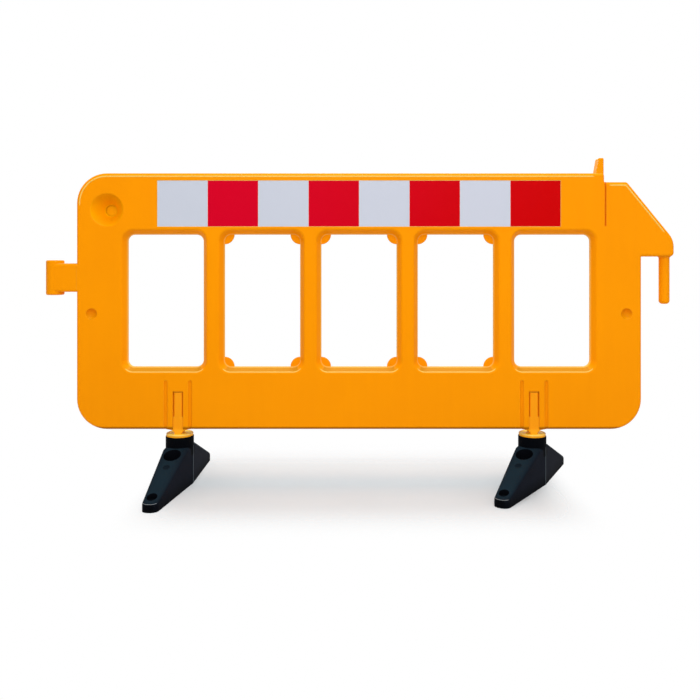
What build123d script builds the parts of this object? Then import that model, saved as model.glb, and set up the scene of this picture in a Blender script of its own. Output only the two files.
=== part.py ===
from build123d import *
import math
import os

# Pedestrian safety barrier: a hollow moulded panel that stands on two swivelling anti-trip feet.
# Millimetres, +Z up. The origin is on the ground under the middle of the barrier, the panel's
# mid-plane is Y = 0 and its front faces -Y.

# Panel body
PANEL_LENGTH = 1804.0
PANEL_HEIGHT = 818.0
PANEL_DEPTH = 56.0
PANEL_CORNER = 96.0
EDGE_ROUND = 8.5
WALL = 4.0

# Windows, each with a bevelled mouth on both faces and a thin land at the mid-plane
WINDOW_COUNT = 5
WINDOW_PITCH = 311.0
WINDOW_WIDTH = 243.0
WINDOW_HEIGHT = 425.5
WINDOW_SILL = 197.0
WINDOW_CORNER = 22.0
BEVEL_RUN = 15.0
LAND_THICKNESS = 5.0
EAR_RADIUS = 31.0

# Right end: the rail stops short of a sloped shoulder, with a tapered lug on the rail's end
RAIL_SETBACK = 118.0
SHOULDER_DROP = 28.3
SHOULDER_REACH = 104.6
SHOULDER_HEIGHT = 237.7
SLOPE_SETBACK = 45.3
SLOPE_ANGLE = 50.8
NOSE_ROUND = 64.0
SHOULDER_ROUND = 12.0
INNER_ROUND = 4.0
RAIL_CORNER = 10.0
LUG_HEIGHT = 49.5
LUG_BASE = 24.0
LUG_CROWN = 15.4
LUG_DEPTH = 40.0
LUG_ROUND = 4.0
GROOVE_WIDTH = 5.0
GROOVE_DEPTH = 8.0
GROOVE_LENGTH = 141.0

# Moulded dish and dimples that tie the front wall to the back wall
DISH_INSET = 97.0
DISH_DROP = 117.5
DISH_RADIUS = 52.5
DISH_FLOOR_RADIUS = 18.0
DISH_RIM_ROUND = 5.0
DIMPLE_INSET = 48.0
DIMPLE_RISE = 368.5
DIMPLE_RADIUS = 18.0
DIMPLE_DEPTH = 11.0

# Reflective film, in a shallow recess on each face
FILM_BLOCKS = 8
FILM_BLOCK_LENGTH = 161.0
FILM_HEIGHT = 147.5
FILM_THICKNESS = 0.6
FILM_RECESS = 1.0
FILM_DROP = 23.6
FILM_JOINT = 0.4
FILM_MARGIN = 0.6

# Coupling eye at the left end
EYE_REACH = 78.0
EYE_RADIUS = 28.0
EYE_HEIGHT = 111.5
EYE_RISE = 484.0
EYE_ROUND = 5.0
EYE_NECK_HEIGHT = 91.0
EYE_NECK_DEPTH = 55.2
EYE_NECK_ROUND = 8.0
EYE_TANG_LENGTH = 40.0
EYE_TANG_HEIGHT = 61.0
EYE_TANG_DEPTH = 30.0

# Coupling pin under the shoulder
PIN_REACH = 82.5
PIN_RADIUS = 16.5
PIN_LENGTH = 153.0
PIN_TIP_ROUND = 11.0
PIN_COLLAR_RADIUS = 21.0
PIN_COLLAR_HEIGHT = 4.0
PIN_SHANK_RADIUS = 13.0
PIN_SHANK_LENGTH = 36.0
COUPLING_CLEARANCE = 1.5

# Swivel posts: a stem with a snap tongue in the panel, a flared neck, a flange and a spigot
POST_SPACING = 1137.0
POST_OFFSET = -9.5
STEM_WIDTH = 50.0
STEM_DEPTH = 36.0
SLOT_WIDTH = 32.5
SLOT_TOP = 120.5
TONGUE_WIDTH = 27.0
TONGUE_TOP_GAP = 2.5
TONGUE_SETBACK = 1.5
TONGUE_ROUND = 5.0
TONGUE_ROOT = 38.5
SOCKET_CLEARANCE = 0.5
FLARE_WIDTH = 56.0
FLARE_LIP = 2.0
NECK_WIDTH = 23.0
NECK_HEIGHT = 17.0
NECK_ROUND = 3.0
FLANGE_RADIUS = 42.5
FLANGE_THICKNESS = 7.5
FLANGE_ROUND = 2.5
SPIGOT_RADIUS = 20.0
CHANNEL_SPREAD = 39.0
CHANNEL_HEIGHT = 150.5
CHANNEL_WIDTH = 12.0
CHANNEL_DEPTH = 4.5

# Feet
FOOT_LENGTH = 580.0
FOOT_WIDTH = 88.0
FOOT_HEIGHT = 154.0
TOE_WIDTH = 46.0
TOE_HEIGHT = 24.0
TOE_CORNER = 22.0
COLLAR_RADIUS = 44.5
COLLAR_HEIGHT = 32.0
COLLAR_ROUND = 2.0
RAMP_ROUND = 12.0
POCKET_RADIUS = 26.5
POCKET_OFFSET = 77.0
POCKET_FLOOR = 58.0
SPOT_RADIUS = 10.5
SPOT_OFFSET = 133.0
SPOT_DEPTH = 4.0
FIXING_INSET = 31.0
FIXING_HOLE_RADIUS = 7.0
FIXING_SEAT_RADIUS = 15.0
FIXING_SEAT_FLOOR = 25.0
LEFT_FOOT_ANGLE = -4.5
RIGHT_FOOT_ANGLE = -31.5

# Pivot fasteners, from below
SWIVEL_CLEARANCE = 0.05
PIVOT_LIFT = 0.3
RECESS_RADIUS = 34.0
RECESS_DEPTH = 34.0
WASHER_RADIUS = 29.0
WASHER_THICKNESS = 4.0
BOLT_RADIUS = 6.0
BOLT_LENGTH = 38.0
BOLT_HEAD_ACROSS_FLATS = 19.0
BOLT_HEAD_HEIGHT = 8.0
BOLT_CLEARANCE = 0.1
WASHER_HOLE_CLEARANCE = 0.5
INSERT_RADIUS = 10.0
INSERT_LENGTH = 26.0
BOLT_END_GAP = 3.0

# How near an edge has to be to a place to be picked there
PICK = 0.01

# Places worked out from the sizes above
PANEL_BOTTOM = FOOT_HEIGHT + FLANGE_THICKNESS + NECK_HEIGHT
PANEL_TOP = PANEL_BOTTOM + PANEL_HEIGHT
LEFT_END = -PANEL_LENGTH / 2
RIGHT_END = PANEL_LENGTH / 2
FRONT = -PANEL_DEPTH / 2
BACK = PANEL_DEPTH / 2
TONGUE_REACH = PANEL_DEPTH / 2 - TONGUE_SETBACK
RAIL_END = RIGHT_END - RAIL_SETBACK
SHOULDER_TOP = PANEL_TOP - SHOULDER_DROP
SHOULDER_UNDERSIDE = SHOULDER_TOP - SHOULDER_HEIGHT
SHOULDER_END = RIGHT_END + SHOULDER_REACH
SLOPE_START = RIGHT_END - SLOPE_SETBACK
SLOPE_FALL = (SHOULDER_END - SLOPE_START) * math.tan(math.radians(SLOPE_ANGLE))
BEVEL_STRETCH = math.hypot(1, 2 * BEVEL_RUN / (PANEL_DEPTH - LAND_THICKNESS))
WINDOW_CENTRE_Z = PANEL_BOTTOM + WINDOW_SILL + WINDOW_HEIGHT / 2
FILM_TOP = PANEL_TOP - FILM_DROP
FILM_CENTRE_Z = FILM_TOP - FILM_HEIGHT / 2
EYE_X = LEFT_END - EYE_REACH
EYE_Z = PANEL_BOTTOM + EYE_RISE
EYE_BORE_RADIUS = PIN_RADIUS + COUPLING_CLEARANCE
PIN_X = RIGHT_END + PIN_REACH
SPIGOT_END = RECESS_DEPTH - PIVOT_LIFT
RAMP_TOP = FOOT_HEIGHT - COLLAR_HEIGHT
POSTS = {
    "left": (POST_OFFSET - POST_SPACING / 2, LEFT_FOOT_ANGLE),
    "right": (POST_OFFSET + POST_SPACING / 2, RIGHT_FOOT_ANGLE),
}


def upright(x, y, z):
    """Plane facing the front, with its X along the barrier and its Y upwards."""
    return Plane(origin=(x, y, z), x_dir=(1, 0, 0), z_dir=(0, -1, 0))


def block(x0, x1, y0, y1, z0, z1):
    """Box between two corners."""
    centre = Pos((x0 + x1) / 2, (y0 + y1) / 2, (z0 + z1) / 2)
    return centre * Box(x1 - x0, y1 - y0, z1 - z0)


def rod(radius, x, y, z0, z1):
    """Upright cylinder between two heights."""
    return Pos(x, y, (z0 + z1) / 2) * Cylinder(radius, z1 - z0)


def window_places():
    """Centre of each window along the barrier."""
    first = -WINDOW_PITCH * (WINDOW_COUNT - 1) / 2
    return [first + WINDOW_PITCH * step for step in range(WINDOW_COUNT)]


def panel_outline():
    """Front outline of the panel with its shoulder, as a face on the mid-plane."""
    corners = [
        (LEFT_END, PANEL_BOTTOM, PANEL_CORNER),
        (RIGHT_END, PANEL_BOTTOM, PANEL_CORNER),
        (RIGHT_END, SHOULDER_UNDERSIDE, INNER_ROUND),
        (SHOULDER_END, SHOULDER_UNDERSIDE, SHOULDER_ROUND),
        (SHOULDER_END, SHOULDER_TOP - SLOPE_FALL, NOSE_ROUND),
        (SLOPE_START, SHOULDER_TOP, SHOULDER_ROUND),
        (RAIL_END, SHOULDER_TOP, INNER_ROUND),
        (RAIL_END, PANEL_TOP, RAIL_CORNER),
        (LEFT_END, PANEL_TOP, PANEL_CORNER),
    ]
    points = [(x, z) for x, z, radius in corners]
    radii = [radius for x, z, radius in corners]
    return upright(0, 0, 0) * make_face(FilletPolyline(*points, radius=radii, close=True))


def window_mouth(side, growth):
    """Bevelled mouth of a window on one face (side -1 front, 1 back), with the middle at the origin."""
    width = WINDOW_WIDTH + 2 * growth
    height = WINDOW_HEIGHT + 2 * growth
    corner = WINDOW_CORNER + growth
    outer = RectangleRounded(width + 2 * BEVEL_RUN, height + 2 * BEVEL_RUN, corner + BEVEL_RUN)
    inner = RectangleRounded(width, height, corner)
    face_plane = upright(0, side * PANEL_DEPTH / 2, 0)
    land_plane = upright(0, side * LAND_THICKNESS / 2, 0)
    return loft([face_plane * outer, land_plane * inner], ruled=True)


def window_form(growth):
    """Open space of one window, grown sideways by the given amount, with the middle at the origin."""
    opening = RectangleRounded(
        WINDOW_WIDTH + 2 * growth, WINDOW_HEIGHT + 2 * growth, WINDOW_CORNER + growth
    )
    land = extrude(upright(0, 0, 0) * opening, amount=LAND_THICKNESS, both=True)
    return land + window_mouth(-1, growth) + window_mouth(1, growth)


def corner_ears(window_x):
    """Four thin quarter discs in the corners of one window."""
    ears = []
    for side in (-1, 1):
        for level in (-1, 1):
            place = upright(
                window_x + side * WINDOW_WIDTH / 2, 0, WINDOW_CENTRE_Z + level * WINDOW_HEIGHT / 2
            )
            ears.append(place * Cylinder(EAR_RADIUS, LAND_THICKNESS))
    return ears


def dish(growth):
    """Cone of the dish, grown by the given amount, from in front of the face to the dish's floor."""
    x = LEFT_END + DISH_INSET
    z = PANEL_TOP - DISH_DROP
    depth = PANEL_DEPTH - 2 * WALL
    centre = upright(x, FRONT + depth / 2, z)
    return centre * Cone(DISH_FLOOR_RADIUS + growth, DISH_RADIUS + growth, depth)


def dimples(growth):
    """Shallow round pits in the end stiles, front and back, grown by the given amount."""
    z = PANEL_BOTTOM + DIMPLE_RISE
    ball_radius = (DIMPLE_RADIUS**2 + DIMPLE_DEPTH**2) / (2 * DIMPLE_DEPTH)
    offset = PANEL_DEPTH / 2 + ball_radius - DIMPLE_DEPTH
    places = []
    for x in (LEFT_END + DIMPLE_INSET, RIGHT_END - DIMPLE_INSET):
        for side in (-1, 1):
            places.append(Pos(x, side * offset, z) * Sphere(ball_radius + growth))
    return places


def film_recess(side):
    """Shallow pocket for the film on one face."""
    half_length = FILM_BLOCKS * FILM_BLOCK_LENGTH / 2 + FILM_MARGIN
    half_height = FILM_HEIGHT / 2 + FILM_MARGIN
    pocket = Box(2 * half_length, 2 * FILM_RECESS, 2 * half_height)
    return Pos(0, side * PANEL_DEPTH / 2, FILM_CENTRE_Z) * pocket


def post_socket(post_x, growth):
    """Pocket for the stem of one post, open at the panel's bottom, grown by the given amount."""
    half_width = STEM_WIDTH / 2 + SOCKET_CLEARANCE + growth
    half_depth = STEM_DEPTH / 2 + SOCKET_CLEARANCE + growth
    return block(
        post_x - half_width, post_x + half_width,
        -half_depth, half_depth,
        PANEL_BOTTOM - growth, PANEL_BOTTOM + SLOT_TOP + growth,
    )


def tongue_slot(post_x, growth):
    """Slot for one post's tongue through both faces, open at the bottom, grown by the given amount."""
    half_width = SLOT_WIDTH / 2 + growth
    return block(
        post_x - half_width, post_x + half_width,
        FRONT - growth, BACK + growth,
        PANEL_BOTTOM - growth, PANEL_BOTTOM + SLOT_TOP + growth,
    )


def boss_channels(post_x, growth):
    """Shallow upright grooves beside one leg boss, on both faces, grown by the given amount."""
    radius = ((CHANNEL_WIDTH / 2) ** 2 + CHANNEL_DEPTH**2) / (2 * CHANNEL_DEPTH)
    offset = PANEL_DEPTH / 2 + radius - CHANNEL_DEPTH
    top = PANEL_BOTTOM + CHANNEL_HEIGHT
    grooves = []
    for spread in (-CHANNEL_SPREAD, CHANNEL_SPREAD):
        for side in (-1, 1):
            grooves.append(rod(radius + growth, post_x + spread, side * offset, PANEL_BOTTOM, top))
            grooves.append(Pos(post_x + spread, side * offset, top) * Sphere(radius + growth))
    return grooves


def boss_foot(post_x):
    """Square lower edge of one leg boss, between its grooves."""
    return block(
        post_x - CHANNEL_SPREAD, post_x + CHANNEL_SPREAD,
        FRONT, BACK,
        PANEL_BOTTOM, PANEL_BOTTOM + EDGE_ROUND,
    )


def end_groove(growth):
    """Upright groove between the rail's end and the shoulder, on both faces, grown by the given amount."""
    half_width = GROOVE_WIDTH / 2 + growth
    depth = GROOVE_DEPTH + growth
    low = SHOULDER_TOP - GROOVE_LENGTH - growth
    high = SHOULDER_TOP + 2 * INNER_ROUND
    centre = RAIL_END + GROOVE_WIDTH / 2
    front_cut = block(centre - half_width, centre + half_width, FRONT, FRONT + depth, low, high)
    back_cut = block(centre - half_width, centre + half_width, BACK - depth, BACK, low, high)
    return [front_cut, back_cut]


def eye_neck(x0, x1):
    """Bar with the section of the coupling eye's neck, between two places along the barrier."""
    bar = block(
        x0, x1,
        -EYE_NECK_DEPTH / 2, EYE_NECK_DEPTH / 2,
        EYE_Z - EYE_NECK_HEIGHT / 2, EYE_Z + EYE_NECK_HEIGHT / 2,
    )
    return fillet(bar.edges().filter_by(Axis.X), EYE_NECK_ROUND)


def eye_tang(growth):
    """Tang of the coupling eye inside the panel's left end, grown by the given amount."""
    half_depth = EYE_TANG_DEPTH / 2 + growth
    half_height = EYE_TANG_HEIGHT / 2 + growth
    return block(
        LEFT_END, LEFT_END + EYE_TANG_LENGTH + growth,
        -half_depth, half_depth,
        EYE_Z - half_height, EYE_Z + half_height,
    )


def pin_pocket(growth):
    """Pocket in the shoulder's underside for the shank of the coupling pin, grown by the given amount."""
    top = SHOULDER_UNDERSIDE + PIN_SHANK_LENGTH + growth
    return rod(PIN_SHANK_RADIUS + growth, PIN_X, 0, SHOULDER_UNDERSIDE, top)


def rail_lug():
    """Tapered lug that stands on the end of the top rail."""
    foot = PANEL_TOP - RAIL_CORNER - EDGE_ROUND
    crown = PANEL_TOP + LUG_HEIGHT
    profile = Polyline(
        (RAIL_END - LUG_BASE, foot),
        (RAIL_END, foot),
        (RAIL_END, crown),
        (RAIL_END - LUG_CROWN, crown),
        (RAIL_END - LUG_BASE, PANEL_TOP),
        close=True,
    )
    lug = extrude(upright(0, 0, 0) * make_face(profile), amount=LUG_DEPTH / 2, both=True)
    return fillet(lug.edges().filter_by(lambda edge: edge.center().Z > PANEL_TOP + PICK), LUG_ROUND)


def panel_body():
    """Outside form of the panel, before its pockets and its hollow."""
    body = extrude(panel_outline(), amount=PANEL_DEPTH / 2, both=True)
    window = window_form(0)
    for x in window_places():
        body -= Pos(x, 0, WINDOW_CENTRE_Z) * window
    on_face = body.edges().filter_by(lambda edge: abs(abs(edge.center().Y) - PANEL_DEPTH / 2) < PICK)
    body = fillet(on_face, EDGE_ROUND)
    for x in window_places()[1:-1]:
        body += corner_ears(x)
    for post_x, angle in POSTS.values():
        body += boss_foot(post_x)
    return body + eye_neck(LEFT_END, LEFT_END + EDGE_ROUND) + rail_lug()


def panel_hollow():
    """The air inside the panel, one wall in from everything that shows."""
    hollow = extrude(offset(panel_outline(), -WALL), amount=PANEL_DEPTH / 2 - WALL, both=True)
    surround = window_form(WALL * BEVEL_STRETCH)
    for x in window_places():
        hollow -= Pos(x, 0, WINDOW_CENTRE_Z) * surround
    hollow -= dish(WALL)
    hollow -= dimples(WALL)
    hollow -= end_groove(WALL)
    hollow -= eye_tang(SOCKET_CLEARANCE + WALL)
    hollow -= pin_pocket(SOCKET_CLEARANCE + WALL)
    for post_x, angle in POSTS.values():
        hollow -= post_socket(post_x, WALL)
        hollow -= tongue_slot(post_x, WALL)
        hollow -= boss_channels(post_x, WALL)
    return hollow


def panel_shell():
    """Hollow moulded panel with its windows, shoulder, lug, dish and sockets."""
    shell = panel_body()
    shell -= dish(0)
    rim = shell.edges().filter_by(GeomType.CIRCLE)
    rim = rim.filter_by(lambda edge: abs(edge.radius - DISH_RADIUS) < PICK)
    shell = fillet(rim, DISH_RIM_ROUND)
    shell -= dimples(0)
    shell -= [film_recess(-1), film_recess(1)]
    shell -= end_groove(0)
    shell -= eye_tang(SOCKET_CLEARANCE)
    shell -= pin_pocket(SOCKET_CLEARANCE)
    for post_x, angle in POSTS.values():
        shell -= post_socket(post_x, 0)
        shell -= tongue_slot(post_x, 0)
        shell -= boss_channels(post_x, 0)
    return shell - panel_hollow()


def film_block(index, side):
    """One block of film on one face, counted from the left."""
    first = -FILM_BLOCK_LENGTH * (FILM_BLOCKS - 1) / 2
    y = side * (PANEL_DEPTH / 2 - FILM_RECESS + FILM_THICKNESS / 2)
    place = Pos(first + FILM_BLOCK_LENGTH * index, y, FILM_CENTRE_Z)
    return place * Box(FILM_BLOCK_LENGTH - FILM_JOINT, FILM_THICKNESS, FILM_HEIGHT)


def coupling_eye():
    """Barrel that takes the next barrier's pin, with a neck and a tang in the panel's left end."""
    low = EYE_Z - EYE_HEIGHT / 2
    high = EYE_Z + EYE_HEIGHT / 2
    barrel = rod(EYE_RADIUS, EYE_X, 0, low, high)
    barrel = fillet(barrel.edges().filter_by(GeomType.CIRCLE), EYE_ROUND)
    body = barrel + eye_neck(EYE_X, LEFT_END) + eye_tang(0)
    return body - rod(EYE_BORE_RADIUS, EYE_X, 0, low, high)


def coupling_pin():
    """Peg that drops into the next barrier's eye, with a collar and a shank in the shoulder."""
    tip = SHOULDER_UNDERSIDE - PIN_LENGTH
    peg = rod(PIN_RADIUS, PIN_X, 0, tip, SHOULDER_UNDERSIDE)
    peg = fillet(peg.edges().group_by(Axis.Z)[0], PIN_TIP_ROUND)
    collar_middle = SHOULDER_UNDERSIDE - PIN_COLLAR_HEIGHT / 2
    collar = Pos(PIN_X, 0, collar_middle) * Cone(PIN_RADIUS, PIN_COLLAR_RADIUS, PIN_COLLAR_HEIGHT)
    shank_top = SHOULDER_UNDERSIDE + PIN_SHANK_LENGTH
    shank = rod(PIN_SHANK_RADIUS, PIN_X, 0, SHOULDER_UNDERSIDE, shank_top)
    return peg + collar + shank


def post_neck(post_x):
    """Neck of one post: a web as deep as the tongue, flared like a trumpet under the panel."""
    low = FOOT_HEIGHT + FLANGE_THICKNESS
    lip = PANEL_BOTTOM - FLARE_LIP
    waist = NECK_WIDTH / 2
    brim = FLARE_WIDTH / 2
    profile = [
        Line((-waist, low), (waist, low)),
        EllipticalCenterArc((brim, low), brim - waist, lip - low, 180, arc_size=-90),
        Line((brim, lip), (brim, PANEL_BOTTOM)),
        Line((brim, PANEL_BOTTOM), (-brim, PANEL_BOTTOM)),
        Line((-brim, PANEL_BOTTOM), (-brim, lip)),
        EllipticalCenterArc((-brim, low), brim - waist, lip - low, 0, arc_size=90),
    ]
    web = extrude(upright(0, 0, 0) * make_face(profile), amount=TONGUE_REACH, both=True)
    return Pos(post_x, 0, 0) * fillet(web.edges().filter_by(GeomType.ELLIPSE), NECK_ROUND)


def swivel_post(post_x):
    """One post: stem and tongue in the panel, neck, flange on the foot and spigot through it."""
    stem = block(
        post_x - STEM_WIDTH / 2, post_x + STEM_WIDTH / 2,
        -STEM_DEPTH / 2, STEM_DEPTH / 2,
        PANEL_BOTTOM, PANEL_BOTTOM + SLOT_TOP - SOCKET_CLEARANCE,
    )
    tongue = block(
        post_x - TONGUE_WIDTH / 2, post_x + TONGUE_WIDTH / 2,
        -TONGUE_REACH, TONGUE_REACH,
        PANEL_BOTTOM, PANEL_BOTTOM + SLOT_TOP - TONGUE_TOP_GAP,
    )
    tongue_faces = tongue.faces().sort_by(Axis.Y)
    tongue = fillet(tongue_faces[0].edges() + tongue_faces[-1].edges(), TONGUE_ROUND)
    root_width = SLOT_WIDTH / 2 - SOCKET_CLEARANCE
    root = block(
        post_x - root_width, post_x + root_width,
        -TONGUE_REACH, TONGUE_REACH,
        PANEL_BOTTOM, PANEL_BOTTOM + TONGUE_ROOT,
    )
    flange = rod(FLANGE_RADIUS, post_x, 0, FOOT_HEIGHT, FOOT_HEIGHT + FLANGE_THICKNESS)
    flange = fillet(flange.edges().group_by(Axis.Z)[-1], FLANGE_ROUND)
    spigot = rod(SPIGOT_RADIUS, post_x, 0, SPIGOT_END, FOOT_HEIGHT)
    insert_seat = rod(INSERT_RADIUS, post_x, 0, SPIGOT_END, SPIGOT_END + INSERT_LENGTH)
    bolt_room_top = SPIGOT_END + BOLT_LENGTH - WASHER_THICKNESS + BOLT_END_GAP
    bolt_room = rod(BOLT_RADIUS + BOLT_CLEARANCE, post_x, 0, SPIGOT_END, bolt_room_top)
    return stem + tongue + root + post_neck(post_x) + flange + spigot - insert_seat - bolt_room


def spot_dimple(side):
    """Ball that leaves the small round dimple in a foot's front ramp (side -1) or rear ramp (side 1)."""
    run = FOOT_LENGTH / 2 - COLLAR_RADIUS
    slope = math.atan2(RAMP_TOP - TOE_HEIGHT, run)
    height = TOE_HEIGHT + (FOOT_LENGTH / 2 - SPOT_OFFSET) * math.tan(slope)
    ball_radius = (SPOT_RADIUS**2 + SPOT_DEPTH**2) / (2 * SPOT_DEPTH)
    lift = ball_radius - SPOT_DEPTH
    y = side * (SPOT_OFFSET + lift * math.sin(slope))
    return Pos(0, y, height + lift * math.cos(slope)) * Sphere(ball_radius)


def foot_body():
    """Solid form of a foot square to the panel, with its pivot on the Z axis."""
    toe = FOOT_LENGTH / 2
    waist = FOOT_WIDTH / 2
    nose = TOE_WIDTH / 2
    plan = FilletPolyline(
        (waist, 0), (nose, toe), (-nose, toe), (-waist, 0), (-nose, -toe), (nose, -toe),
        radius=[0, TOE_CORNER, TOE_CORNER, 0, TOE_CORNER, TOE_CORNER],
        close=True,
    )
    profile = Polyline(
        (-toe, 0), (toe, 0), (toe, TOE_HEIGHT), (COLLAR_RADIUS, RAMP_TOP),
        (-COLLAR_RADIUS, RAMP_TOP), (-toe, TOE_HEIGHT),
        close=True,
    )
    prism = extrude(make_face(plan), amount=FOOT_HEIGHT)
    ramps = extrude(Plane.YZ * make_face(profile), amount=FOOT_WIDTH, both=True)
    body = prism & ramps
    top_edges = body.edges().filter_by(lambda edge: edge.center().Z > TOE_HEIGHT - PICK)
    across = top_edges.filter_by(Axis.X).filter_by(lambda edge: edge.center().Z > RAMP_TOP - PICK)
    walls = top_edges.filter_by(Axis.Z)
    body = fillet(top_edges - across - walls, RAMP_ROUND)
    collar = rod(COLLAR_RADIUS, 0, 0, RAMP_TOP - COLLAR_HEIGHT, FOOT_HEIGHT)
    collar = fillet(collar.edges().group_by(Axis.Z)[-1], COLLAR_ROUND)
    return body + collar


def foot(post_x, angle):
    """Anti-trip foot with its pockets, toe fixings and pivot bore, turned about its post."""
    body = foot_body()
    for side in (-1, 1):
        pocket_y = side * POCKET_OFFSET
        body -= rod(POCKET_RADIUS, 0, pocket_y, POCKET_FLOOR, FOOT_HEIGHT)
        body -= spot_dimple(side)
        fixing_y = side * (FOOT_LENGTH / 2 - FIXING_INSET)
        body -= rod(FIXING_SEAT_RADIUS, 0, fixing_y, FIXING_SEAT_FLOOR, FOOT_HEIGHT)
        body -= rod(FIXING_HOLE_RADIUS, 0, fixing_y, 0, FOOT_HEIGHT)
    body -= rod(SPIGOT_RADIUS + SWIVEL_CLEARANCE, 0, 0, 0, FOOT_HEIGHT)
    body -= rod(RECESS_RADIUS, 0, 0, 0, RECESS_DEPTH)
    return Pos(post_x, 0, 0) * Rot(0, 0, angle) * body


def pivot_washer(post_x):
    """Large washer under one spigot, which carries the foot when the barrier is lifted."""
    low = SPIGOT_END - WASHER_THICKNESS
    ring = rod(WASHER_RADIUS, post_x, 0, low, SPIGOT_END)
    return ring - rod(BOLT_RADIUS + WASHER_HOLE_CLEARANCE, post_x, 0, low, SPIGOT_END)


def pivot_bolt(post_x):
    """Hexagon bolt up through the washer into the insert."""
    seat = SPIGOT_END - WASHER_THICKNESS
    head_outline = RegularPolygon(BOLT_HEAD_ACROSS_FLATS / 2, 6, major_radius=False)
    head = Pos(post_x, 0, seat - BOLT_HEAD_HEIGHT) * extrude(head_outline, amount=BOLT_HEAD_HEIGHT)
    return head + rod(BOLT_RADIUS, post_x, 0, seat, seat + BOLT_LENGTH)


def pivot_insert(post_x):
    """Threaded bush moulded into the end of one spigot."""
    high = SPIGOT_END + INSERT_LENGTH
    bush = rod(INSERT_RADIUS, post_x, 0, SPIGOT_END, high)
    return bush - rod(BOLT_RADIUS + BOLT_CLEARANCE, post_x, 0, SPIGOT_END, high)


def barrier_nodes():
    """Every piece of the barrier, by node name."""
    nodes = {
        "panel_shell": panel_shell(),
        "coupling_eye": coupling_eye(),
        "coupling_pin": coupling_pin(),
    }
    for face, side in (("front", -1), ("rear", 1)):
        for index in range(FILM_BLOCKS):
            nodes[f"{face}_film_{index + 1}"] = film_block(index, side)
    for hand, (post_x, angle) in POSTS.items():
        nodes[f"{hand}_swivel_post"] = swivel_post(post_x)
        nodes[f"{hand}_foot"] = foot(post_x, angle)
        nodes[f"{hand}_pivot_washer"] = pivot_washer(post_x)
        nodes[f"{hand}_pivot_bolt"] = pivot_bolt(post_x)
        nodes[f"{hand}_pivot_insert"] = pivot_insert(post_x)
    return nodes


os.makedirs("parts", exist_ok=True)
for node_name, solid in barrier_nodes().items():
    export_step(solid, f"parts/{node_name}.step")
    print(node_name, round(solid.volume))
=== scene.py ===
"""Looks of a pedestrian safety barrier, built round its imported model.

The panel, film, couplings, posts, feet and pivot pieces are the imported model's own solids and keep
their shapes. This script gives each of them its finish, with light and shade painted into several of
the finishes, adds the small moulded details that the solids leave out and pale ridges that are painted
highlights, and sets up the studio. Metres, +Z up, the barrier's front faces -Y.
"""

from __future__ import annotations

import logging
import math
from dataclasses import dataclass
from enum import Enum
from functools import reduce
from typing import Any, Iterable, Sequence

import bpy
from mathutils import Matrix, Vector

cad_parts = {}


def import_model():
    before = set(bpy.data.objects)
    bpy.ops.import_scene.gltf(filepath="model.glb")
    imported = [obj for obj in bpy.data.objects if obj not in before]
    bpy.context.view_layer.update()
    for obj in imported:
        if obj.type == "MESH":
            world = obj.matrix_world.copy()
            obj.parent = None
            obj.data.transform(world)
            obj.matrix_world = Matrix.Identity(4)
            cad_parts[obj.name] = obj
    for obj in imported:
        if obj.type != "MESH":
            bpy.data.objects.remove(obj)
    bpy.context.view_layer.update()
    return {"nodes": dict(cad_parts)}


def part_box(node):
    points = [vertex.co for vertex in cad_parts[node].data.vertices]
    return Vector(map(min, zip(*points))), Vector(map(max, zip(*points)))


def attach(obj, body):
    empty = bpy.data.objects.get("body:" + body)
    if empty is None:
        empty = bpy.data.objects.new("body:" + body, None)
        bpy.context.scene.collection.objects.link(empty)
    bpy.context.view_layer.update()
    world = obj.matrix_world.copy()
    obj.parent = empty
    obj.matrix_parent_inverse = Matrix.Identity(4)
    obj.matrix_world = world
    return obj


LOG = logging.getLogger("barrier")
MM = 0.001
PANEL_BODY = "barrier_panel"
PANEL_NODE = "panel_shell"
PANEL_SLOT = "panel_plastic"
POST_SLOT = "post_plastic"
FOOT_SLOT = "foot_rubber"
NOISE_AVERAGE = 0.5

Colour = tuple[float, float, float]
Point = tuple[float, float, float]
Spot = tuple[float, float]
Span = tuple[float, float]
Nodes = dict[str, bpy.types.Object]
Inputs = dict[str | int, Any]


class Hand(Enum):
    """Which of the two legs, seen from the front."""

    LEFT = "left"
    RIGHT = "right"


class Face(Enum):
    """Which face of the panel."""

    FRONT = "front"
    REAR = "rear"


class Tone(Enum):
    """Colour of a block of film."""

    WHITE = 0
    RED = 1


class Axis(Enum):
    """Which axis, as its place in a vector."""

    X = 0
    Y = 1
    Z = 2


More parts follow.
